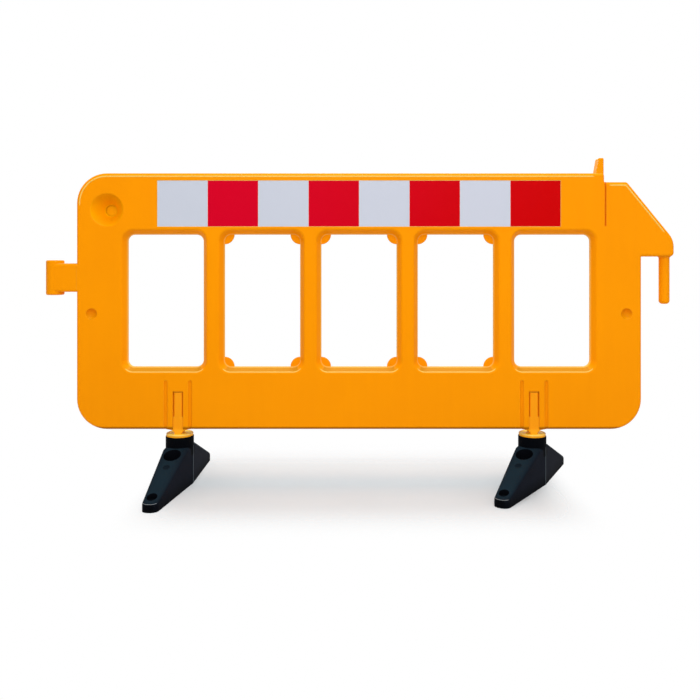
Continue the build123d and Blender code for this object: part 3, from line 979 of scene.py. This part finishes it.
@dataclass
class Panel:
    """The hollow panel with its couplings, the flash where its mould parted, and pale rims that are painted
    highlights.
    """

    lug_height: float = 49.5 * MM
    lug_base: float = 24.0 * MM
    rail_setback: float = 118.0 * MM
    shoulder_reach: float = 104.6 * MM
    shoulder_drop: float = 28.3 * MM
    shoulder_height: float = 237.7 * MM
    shoulder_round: float = 12.0 * MM
    slope_setback: float = 45.3 * MM
    slope_angle: float = math.radians(50.8)
    nose_run: float = 0.87
    corner: float = 96.0 * MM
    inner_round: float = 4.0 * MM
    groove_width: float = 5.0 * MM
    window_count: int = 5
    window_pitch: float = 311.0 * MM
    window_width: float = 243.0 * MM
    window_height: float = 425.5 * MM
    window_sill: float = 197.0 * MM
    window_corner: float = 22.0 * MM
    bevel_run: float = 15.0 * MM
    ear_radius: float = 31.0 * MM
    ear_steps: int = 8
    flash_radius: float = 0.5 * MM
    clear_of_joint: float = 2.0 * MM
    rim_radius: float = 2.8 * MM
    rim_sunk: float = 1.9 * MM
    rim_inset: float = 10.5 * MM
    sill_radius: float = 2.0 * MM
    sill_sunk: float = 2.5 * MM
    taper_run: float = 15.0 * MM
    taper_drop: float = 1.5 * MM

    def __post_init__(self) -> None:
        """Takes the panel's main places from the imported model, and makes its finishes."""
        low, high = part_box(PANEL_NODE)
        self.front = low.y
        self.rear = high.y
        self.left = low.x
        self.right = high.x - self.shoulder_reach
        self.bottom = low.z
        self.top = high.z - self.lug_height
        self.rail_end = self.right - self.rail_setback
        self.rail_stop = self.rail_end - self.lug_base - self.clear_of_joint
        self.shoulder_top = self.top - self.shoulder_drop
        self.slope_start = self.right - self.slope_setback
        slope_run = self.nose_run * (self.shoulder_reach + self.slope_setback)
        self.slope_end = self.slope_start + slope_run
        self.slope_foot = self.shoulder_top - slope_run * math.tan(self.slope_angle)
        self.window_row = self.window_pitch * (self.window_count - 1)
        self.plastic = ORANGE.material()
        # Pale plastic for the rims, the film's ridge and the flange rings, whose colour is a painted
        # highlight
        self.rubbed_and_lit = ORANGE_HIGHLIGHT.material()

    def dress(self, nodes: Nodes) -> None:
        """Gives the panel and its two couplings their plastic.

        Args:
            nodes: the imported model's objects, by node name.
        """
        for name in (PANEL_NODE, "coupling_eye", "coupling_pin"):
            paint_node(nodes[name], self.plastic)

    def parting_line(self, neck_gaps: Sequence[Span]) -> None:
        """Adds the flash where the two halves of the mould met, between the pieces that cross it.

        Args:
            neck_gaps: where the posts leave the bottom edge, as pairs of X.
        """
        eye_low, eye_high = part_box("coupling_eye")
        pin_low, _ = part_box("coupling_pin")
        gap = self.clear_of_joint
        underside = self.shoulder_top - self.shoulder_height
        (left_in, left_out), (right_in, right_out) = neck_gaps
        stretches = [
            [
                (self.left, eye_high.z - gap, 0.0),
                (self.left, self.top, self.corner),
                (self.rail_stop, self.top, 0.0),
            ],
            [
                (self.rail_end + self.inner_round, self.shoulder_top, 0.0),
                (self.slope_start, self.shoulder_top, self.shoulder_round),
                (self.slope_end, self.slope_foot, 0.0),
            ],
            [
                (pin_low.x - gap, underside, 0.0),
                (self.right, underside, self.inner_round),
                (self.right, self.bottom, self.corner),
                (right_out + gap, self.bottom, 0.0),
            ],
            [
                (right_in - gap, self.bottom, 0.0),
                (left_out + gap, self.bottom, 0.0),
            ],
            [
                (left_in - gap, self.bottom, 0.0),
                (self.left, self.bottom, self.corner),
                (self.left, eye_low.z + gap, 0.0),
            ],
        ]
        runs = [[Corner((x, 0.0, z), radius) for x, z, radius in stretch] for stretch in stretches]
        Bead("panel_parting_flash", self.plastic, self.flash_radius, runs).build()

    def _outline(self, middle_x: float, eared: bool) -> list[Corner]:
        """Outline of one window at the panel's mid-plane.

        Args:
            middle_x: the window's middle.
            eared: whether its corners have ears.

        Returns:
            The outline's corners, in order.
        """
        half_x, half_z = self.window_width / 2, self.window_height / 2
        middle_z = self.bottom + self.window_sill + half_z
        quarter_turn = math.radians(90.0)
        outline = []
        for quarter, (side, level) in enumerate(((1, 1), (-1, 1), (-1, -1), (1, -1))):
            x, z = middle_x + side * half_x, middle_z + level * half_z
            if not eared:
                outline.append(Corner((x, 0.0, z), self.window_corner))
                continue
            for step in range(self.ear_steps + 1):
                turn = quarter_turn * (3 + quarter - step / self.ear_steps)
                ear_x, ear_z = self.ear_radius * math.cos(turn), self.ear_radius * math.sin(turn)
                outline.append(Corner((x + ear_x, 0.0, z + ear_z)))
        return outline

    def window_flash(self) -> None:
        """Adds the trimmed flash round the windows: the outer two are plain, the rest have ears."""
        first = -self.window_row / 2
        Bead(
            "outer_window_flash", self.plastic, self.flash_radius, [self._outline(first, False)],
            closed=True, copies=2, pitch=self.window_row,
        ).build()
        Bead(
            "inner_window_flash", self.plastic, self.flash_radius,
            [self._outline(first + self.window_pitch, True)],
            closed=True, copies=self.window_count - 2, pitch=self.window_pitch,
        ).build()

    def _dipped(self, y: float) -> float:
        """Depth at which a rim's end is lost in the wall."""
        return y - math.copysign(self.taper_drop, y)

    def _tapered(self, stretch: Sequence[Point], y: float) -> list[Corner]:
        """A rim's path on one face, whose two ends dip into the wall.

        Args:
            stretch: the corners of the path, each an X, a Z and a rounding.
            y: the path's own depth, away from its ends.

        Returns:
            The corners, with one more near each end.
        """
        path = [Corner((x, y, z), radius) for x, z, radius in stretch]
        ends = []
        for end, inner in ((path[0], path[1]), (path[-1], path[-2])):
            start = Vector(end.place)
            step = (Vector(inner.place) - start).normalized() * self.taper_run
            ends.append((Corner((start.x, self._dipped(y), start.z)), Corner(tuple(start + step))))
        (first, after_first), (last, before_last) = ends
        return [first, after_first, *path[1:-1], before_last, last]

    def top_rim_highlights(self) -> None:
        """Adds a pale rim inside the panel's upper edges, where their rounding meets each face: a painted
        highlight.
        """
        inset = self.rim_inset
        rail, shoulder = self.top - inset, self.shoulder_top - inset
        shoulder_turn = self.slope_start - inset * math.tan(self.slope_angle / 2)
        slope_end = self.slope_end - inset * math.sin(self.slope_angle)
        slope_foot = self.slope_foot - inset * math.cos(self.slope_angle)
        stretches = [
            [
                (self.left + inset, self.top - self.corner - self.taper_run, 0.0),
                (self.left + inset, rail, self.corner - inset),
                (self.rail_stop, rail, 0.0),
            ],
            [
                (self.rail_end + self.groove_width + self.clear_of_joint, shoulder, 0.0),
                (shoulder_turn, shoulder, self.shoulder_round - inset),
                (slope_end, slope_foot, 0.0),
            ],
        ]
        depths = (self.front + self.rim_sunk, self.rear - self.rim_sunk)
        runs = [self._tapered(stretch, y) for y in depths for stretch in stretches]
        Bead("top_rim_highlights", self.rubbed_and_lit, self.rim_radius, runs).build()

    def sill_highlights(self) -> None:
        """Adds a pale rim under each window, where its lower slope meets the two faces: a painted
        highlight.
        """
        middle = -self.window_row / 2
        half = self.window_width / 2 + self.bevel_run
        sill = self.bottom + self.window_sill - self.bevel_run
        turn = self.window_corner + self.bevel_run
        rise = turn * (1.0 - math.sqrt(0.5))
        runs = []
        for y in (self.front + self.sill_sunk, self.rear - self.sill_sunk):
            runs.append([
                Corner((middle - half + rise, self._dipped(y), sill + rise)),
                Corner((middle - half + 2 * rise, y, sill), turn),
                Corner((middle + half - 2 * rise, y, sill), turn),
                Corner((middle + half - rise, self._dipped(y), sill + rise)),
            ])
        Bead(
            "window_sill_highlights", self.rubbed_and_lit, self.sill_radius, runs,
            copies=self.window_count, pitch=self.window_pitch,
        ).build()


@dataclass
class FilmStrip:
    """The two rows of film, with white and red blocks in turn, and a pale ridge like sealant round them,
    whose colour is a painted highlight.
    """

    blocks: int = 8
    highlight_seal_radius: float = 0.9 * MM

    def highlight_seal(self, finish: bpy.types.Material) -> None:
        """Adds a pale ridge like edge sealant round both strips; its pale colour is a painted highlight.

        Args:
            finish: the ridge's pale plastic.
        """
        runs = []
        for face in Face:
            low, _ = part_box(f"{face.value}_film_1")
            _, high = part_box(f"{face.value}_film_{self.blocks}")
            y = (low.y + high.y) / 2
            outline = ((low.x, low.z), (high.x, low.z), (high.x, high.z), (low.x, high.z))
            runs.append([Corner((x, y, z)) for x, z in outline])
        Bead("film_seal_highlight", finish, self.highlight_seal_radius, runs, closed=True).build()

    def dress(self, nodes: Nodes) -> None:
        """Gives every block its film.

        Args:
            nodes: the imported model's objects, by node name.
        """
        low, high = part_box("front_film_1")
        next_low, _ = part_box("front_film_2")
        joint = next_low.x - high.x
        cut = {
            "first_joint": low.x - joint / 2,
            "block_pitch": next_low.x - low.x,
            "low_edge": low.z,
            "high_edge": high.z,
        }
        white = ReflectiveFilm(
            "white_film", colour=(0.555, 0.59, 0.675), far_colour=(0.58, 0.605, 0.695),
            wall_colour=(0.62, 0.64, 0.71), edge_colour=(0.74, 0.74, 0.76), **cut,
        )
        red = ReflectiveFilm(
            "red_film", colour=(0.66, 0.0, 0.02), far_colour=(0.59, 0.0, 0.0),
            wall_colour=(0.54, 0.0, 0.01), edge_colour=(0.72, 0.12, 0.12), **cut,
        )
        finishes = {Tone.WHITE: white.material(), Tone.RED: red.material()}
        for face in Face:
            for index in range(self.blocks):
                paint_node(nodes[f"{face.value}_film_{index + 1}"], finishes[Tone(index % len(Tone))])


@dataclass
class Leg:
    """One swivel post with its foot, pivot pieces and flange ring, and the foot's seams and lips; ring,
    seams and lips are pale as painted highlights.
    """

    hand: Hand
    foot_angle: float
    foot_width: float = 88.0 * MM
    foot_length: float = 580.0 * MM
    toe_width: float = 46.0 * MM
    toe_height: float = 24.0 * MM
    toe_corner: float = 22.0 * MM
    lip_radius: float = 0.8 * MM
    seam_low: float = 1.5 * MM
    seam_high: float = 121.0 * MM
    seam_radius: float = 1.2 * MM
    flare_width: float = 56.0 * MM
    flange_height: float = 161.5 * MM
    ring_radius: float = 2.6 * MM
    ring_inset: float = 2.2 * MM
    ring_sunk: float = 1.2 * MM

    def __post_init__(self) -> None:
        """Takes the pivot's place and the flange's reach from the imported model."""
        self.foot = f"{self.hand.value}_foot"
        low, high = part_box(f"{self.hand.value}_swivel_post")
        self.pivot = Vector(((low.x + high.x) / 2, (low.y + high.y) / 2, 0.0))
        self.flange_reach = (high.x - low.x) / 2

    @property
    def neck_gap(self) -> Span:
        """Where the flared neck leaves the panel's bottom edge, from left to right."""
        return self.pivot.x - self.flare_width / 2, self.pivot.x + self.flare_width / 2

    def dress(self, nodes: Nodes, finishes: dict[str, bpy.types.Material]) -> None:
        """Gives the leg's pieces their finishes.

        Args:
            nodes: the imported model's objects, by node name.
            finishes: materials by the second part of the node's name.
        """
        rubber = FootRubber(f"{self.foot}_rubber", tuple(self.pivot), self.foot_angle)
        paint_node(nodes[self.foot], rubber.material())
        for piece, finish in finishes.items():
            paint_node(nodes[f"{self.hand.value}_{piece}"], finish)

    def flange_highlight(self, finish: bpy.types.Material) -> None:
        """Adds a pale ring along the upper edge of the post's flange, a painted highlight.

        Args:
            finish: the ring's plastic.
        """
        reach = self.flange_reach - self.ring_inset
        level = self.flange_height - self.ring_sunk
        corners = ((-reach, -reach), (reach, -reach), (reach, reach), (-reach, reach))
        path = [Corner((self.pivot.x + x, self.pivot.y + y, level), reach) for x, y in corners]
        name = f"{self.hand.value}_flange_highlight"
        Bead(name, finish, self.ring_radius, [path], slot=POST_SLOT, closed=True).build()

    def _on_foot(self, x: float, y: float, z: float) -> Point:
        """Place of a point of the foot, given across it, along it and up from its pivot."""
        return tuple(self.pivot + Matrix.Rotation(self.foot_angle, 4, "Z") @ Vector((x, y, z)))

    def seams(self, finish: bpy.types.Material) -> None:
        """Adds the upright flash at the widest point of both flanks of the foot.

        Args:
            finish: the flash's pale rubber, a painted highlight.
        """
        half = self.foot_width / 2
        levels = (self.seam_low, self.seam_high)
        runs = [[Corner(self._on_foot(x, 0.0, z)) for z in levels] for x in (-half, half)]
        Bead(f"{self.foot}_seam", finish, self.seam_radius, runs, body=self.foot, slot=FOOT_SLOT).build()

    def toe_lip_highlights(self, finish: bpy.types.Material) -> None:
        """Adds a pale lip along the upper edge of both toes, a painted highlight.

        Args:
            finish: the lip's rubber.
        """
        end = self.foot_length / 2 - self.lip_radius
        half = self.toe_width / 2 - self.lip_radius
        turn = self.toe_corner - self.lip_radius
        outline = ((-half, end - self.toe_corner), (-half, end), (half, end), (half, end - self.toe_corner))
        runs = [
            [Corner(self._on_foot(x, toe * y, self.toe_height), turn) for x, y in outline]
            for toe in (-1.0, 1.0)
        ]
        name = f"{self.hand.value}_toe_lip_highlight"
        Bead(name, finish, self.lip_radius, runs, body=self.foot, slot=FOOT_SLOT).build()


@dataclass(frozen=True)
class Lamp:
    """A soft square lamp that points at the barrier. One that stands in front has a twin behind."""

    name: str
    place: Point
    size: float
    power: float
    mirrored: bool = False


@dataclass
class Studio:
    """Camera, lamps, floor and white surroundings."""

    lens: float = 38.571
    sensor: float = 36.0
    camera_place: Point = (-0.0128, -2.4205, 0.7254)
    image_size: float = 700.0
    axis_pixel: Spot = (355.0, 258.0)
    ambient: float = 0.42
    lamps: tuple[Lamp, ...] = (
        Lamp("top", (0.1, 0.0, 3.9), 2.6, 104.0, mirrored=True),
        Lamp("slant", (0.3, -3.0, 2.9), 2.6, 64.5, mirrored=True),
        Lamp("right_fill", (3.3, -3.3, 0.8), 2.4, 18.5),
        Lamp("left_fill", (-3.3, -3.3, 0.8), 2.4, 20.5),
    )
    target: Point = (0.0, 0.0, 0.55)
    floor_size: float = 12.0
    floor_middle: float = -0.11
    front_fade: Span = (0.03, 0.38)
    rear_fade: Span = (0.05, 0.6)
    end_fade: Span = (0.5, 0.7)
    floor_albedo: Colour = (0.55, 0.55, 0.55)
    floor_shade: Colour = (0.563, 0.594, 0.612)

    def camera(self) -> None:
        """Sets the camera where the photograph was taken from."""
        data = bpy.data.cameras.new("camera")
        data.sensor_width = self.sensor
        data.lens = self.lens
        data.shift_x = (self.image_size / 2 - self.axis_pixel[0]) / self.image_size
        data.shift_y = (self.axis_pixel[1] - self.image_size / 2) / self.image_size
        eye = bpy.data.objects.new("camera", data)
        eye.location = self.camera_place
        eye.rotation_euler = (math.radians(90.0), 0.0, 0.0)
        bpy.context.scene.collection.objects.link(eye)
        bpy.context.scene.camera = eye

    def light(self, lamp: Lamp) -> None:
        """Adds a lamp, and its twin behind the barrier if it stands in front.

        Args:
            lamp: the lamp. Only a mirrored one shows in shiny surfaces.
        """
        data = bpy.data.lights.new(lamp.name, "AREA")
        data.shape = "SQUARE"
        data.size = lamp.size
        data.energy = lamp.power
        x, y, z = lamp.place
        for side in sorted({y, -y}):
            made = bpy.data.objects.new(lamp.name, data)
            made.location = (x, side, z)
            aim = Vector(self.target) - made.location
            made.rotation_euler = aim.to_track_quat("-Z", "Y").to_euler()
            made.visible_glossy = lamp.mirrored
            bpy.context.scene.collection.objects.link(made)

    @staticmethod
    def _seen_directly(sheet: NodeSheet) -> Signal:
        """Tells rays that see a surface from those that light one.

        Args:
            sheet: the nodes of the world or of a material.

        Returns:
            One for camera, mirror and see-through rays, and zero for the light on a surface.
        """
        rays = sheet.node("ShaderNodeLightPath").outputs
        kinds = ("Is Camera Ray", "Is Glossy Ray", "Is Transmission Ray")
        return reduce(Signal.most, [Signal(sheet, rays[kind]) for kind in kinds])

    def surroundings(self) -> None:
        """Makes the world white where it is seen, and an even soft light elsewhere."""
        world = bpy.data.worlds.new("surroundings")
        world.use_nodes = True
        bpy.context.scene.world = world
        sheet = NodeSheet(world.node_tree)
        seen = self._seen_directly(sheet)
        strength = seen + (1.0 - seen) * self.ambient
        white = {"Color": (1.0, 1.0, 1.0), "Strength": strength}
        glow = sheet.signal("ShaderNodeBackground", "Background", white)
        sheet.node("ShaderNodeOutputWorld", {"Surface": glow})

    def floor(self) -> None:
        """Lays a pale floor that keeps the shadow and fades into the white round it."""
        half = self.floor_size / 2
        corners = [(-half, -half, 0.0), (half, -half, 0.0), (half, half, 0.0), (-half, half, 0.0)]
        mesh = bpy.data.meshes.new("floor")
        mesh.from_pydata(corners, [], [(0, 1, 2, 3)])
        mesh.materials.append(self._floor_finish())
        floor = bpy.data.objects.new("floor", mesh)
        bpy.context.scene.collection.objects.link(floor)

    def _floor_finish(self) -> bpy.types.Material:
        """Makes the floor's finish, which can't be seen from below or far from the barrier.

        Returns:
            The material.
        """
        paint = Paint("pale_floor")
        seen = self._seen_directly(paint)
        plain = paint.signal("ShaderNodeBsdfDiffuse", 0, {"Color": self.floor_albedo})
        shaded = paint.signal("ShaderNodeBsdfDiffuse", 0, {"Color": self.floor_shade})
        lit = paint.signal("ShaderNodeMixShader", 0, {"Fac": seen, 1: plain, 2: shaded})
        x, y, _ = paint.axes()
        in_front = (self.floor_middle - y).ease(*self.front_fade)
        behind = (y - self.floor_middle).ease(*self.rear_fade)
        kept = (1.0 - in_front.most(behind)) * (1.0 - abs(x).ease(*self.end_fade))
        from_below = paint.signal("ShaderNodeNewGeometry", "Backfacing")
        share = ((1.0 - kept) * seen).most(from_below)
        gone = paint.signal("ShaderNodeBsdfTransparent", 0)
        return paint.close(paint.signal("ShaderNodeMixShader", 0, {"Fac": share, 1: lit, 2: gone}))

    def build(self) -> None:
        """Sets up everything round the barrier."""
        bpy.context.scene.view_settings.view_transform = "Standard"
        self.camera()
        self.surroundings()
        self.floor()
        for lamp in self.lamps:
            self.light(lamp)


def paint_node(node: bpy.types.Object, finish: bpy.types.Material) -> None:
    """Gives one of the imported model's objects a material.

    Args:
        node: the object.
        finish: its material.
    """
    node.data.materials.clear()
    node.data.materials.append(finish)
    LOG.info("%s: %s", node.name, finish.name)


def main() -> None:
    """Dresses the barrier and sets up the studio."""
    logging.basicConfig(level=logging.INFO, format="%(name)s: %(message)s")
    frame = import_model()
    nodes = frame["nodes"]
    legs = [
        Leg(Hand.LEFT, foot_angle=math.radians(-4.5)),
        Leg(Hand.RIGHT, foot_angle=math.radians(-31.5)),
    ]
    panel = Panel()
    panel.dress(nodes)
    panel.parting_line([leg.neck_gap for leg in legs])
    panel.window_flash()
    panel.top_rim_highlights()
    panel.sill_highlights()
    strip = FilmStrip()
    strip.dress(nodes)
    strip.highlight_seal(panel.rubbed_and_lit)
    zinc = ZINC.material()
    finishes = {
        "swivel_post": POST_ORANGE.material(),
        "pivot_washer": zinc,
        "pivot_bolt": zinc,
        "pivot_insert": BRASS.material(),
    }
    # Pale rubbers for the seams and toe lips, whose colour is a painted highlight
    rubbed_and_lit = SEAM_HIGHLIGHT_RUBBER.material()
    worn = TOE_HIGHLIGHT_RUBBER.material()
    for leg in legs:
        leg.dress(nodes, finishes)
        leg.flange_highlight(panel.rubbed_and_lit)
        leg.seams(rubbed_and_lit)
        leg.toe_lip_highlights(worn)
    Studio().build()


if __name__ == "__main__":
    main()
